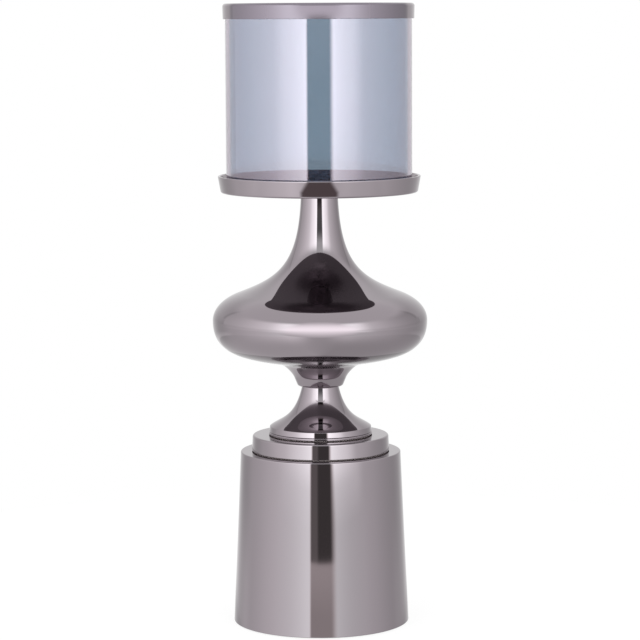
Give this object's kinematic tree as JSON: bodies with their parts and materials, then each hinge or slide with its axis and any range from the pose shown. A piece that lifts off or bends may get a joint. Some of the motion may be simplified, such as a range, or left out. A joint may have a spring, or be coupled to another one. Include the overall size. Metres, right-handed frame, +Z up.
{
  "type": "candle lamp with shade",
  "caption": "Tall polished candle lamp: tapered drum foot, stepped stem, wide bulb with a slender neck, and a shallow tray that carries a lift-off smoked glass shade with a metal top ring.",
  "frame": {"origin": "centre of the felt pad's underside, on the surface that the lamp stands on", "axes": "+Z up along the lamp's axis; the picture is taken from the -Y side, with +X to the right"},
  "size_m": [0.2118, 0.2118, 0.6118],
  "materials": {
    "polished_metal": "mirror-polished gunmetal plating",
    "smoked_glass": "smoke-tinted clear glass",
    "silicone": "dark silicone bead",
    "felt": "black pressed felt",
    "cast_iron": "rough cast, black",
    "steel": "zinc-plated"
  },
  "bodies": {
    "stand": {"felt_pad": "felt", "base_weight": "cast_iron", "weight_washer": "steel", "weight_lock_washer": "steel", "weight_nut": "steel", "plinth_drum": "polished_metal", "stack_washer": "steel", "stack_lock_washer": "steel", "stack_nut": "steel", "step_disc": "polished_metal", "stem_seat_ring": "polished_metal", "lower_stem": "polished_metal", "joint_bush": "steel", "bulb_body": "polished_metal", "tie_rod": "steel", "tray_hub": "steel", "candle_tray": "polished_metal"},
    "shade": {"shade_glass": "smoked_glass", "shade_bedding": "silicone", "shade_top_ring": "polished_metal"}
  },
  "joints": [
    {"name": "shade_lift", "type": "slide", "parent": "stand", "child": "shade", "axis": [0, 0, 1], "range_m": [0, 0.2]}
  ]
}
